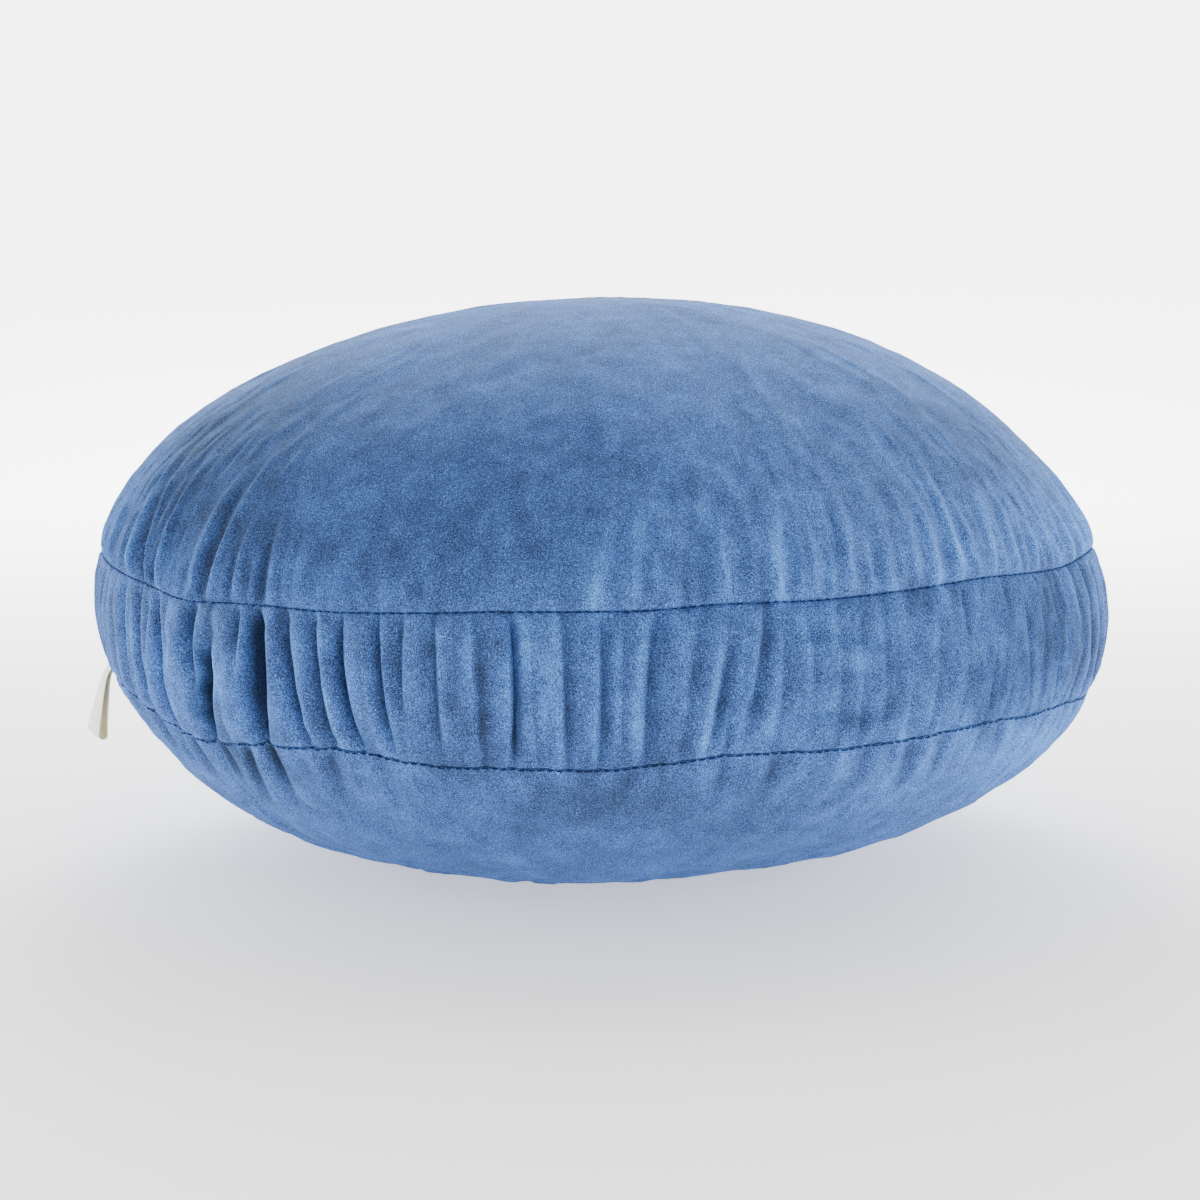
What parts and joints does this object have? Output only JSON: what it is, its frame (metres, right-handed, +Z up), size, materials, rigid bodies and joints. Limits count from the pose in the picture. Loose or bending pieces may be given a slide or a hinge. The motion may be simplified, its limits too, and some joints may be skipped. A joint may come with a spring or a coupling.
{
  "type": "round throw pillow",
  "caption": "Round boxed throw pillow in blue velvet: crowned top and bottom panels sewn to a gathered band, with a folded tape label in the bottom seam.",
  "frame": {"origin": "on the flat patch of the underside, below the middle of the widest ring", "axes": "+Z up through the crown, -Y towards the front of the pillow, +X to its right as the front is seen"},
  "size_m": [0.4037, 0.399, 0.2164],
  "materials": {
    "velvet": "short dense velvet pile with a soft sheen and brushed mottling",
    "label_tape": "smooth woven off-white tape"
  },
  "bodies": {
    "root": {"cushion": "velvet", "label": "label_tape"}
  },
  "joints": []
}
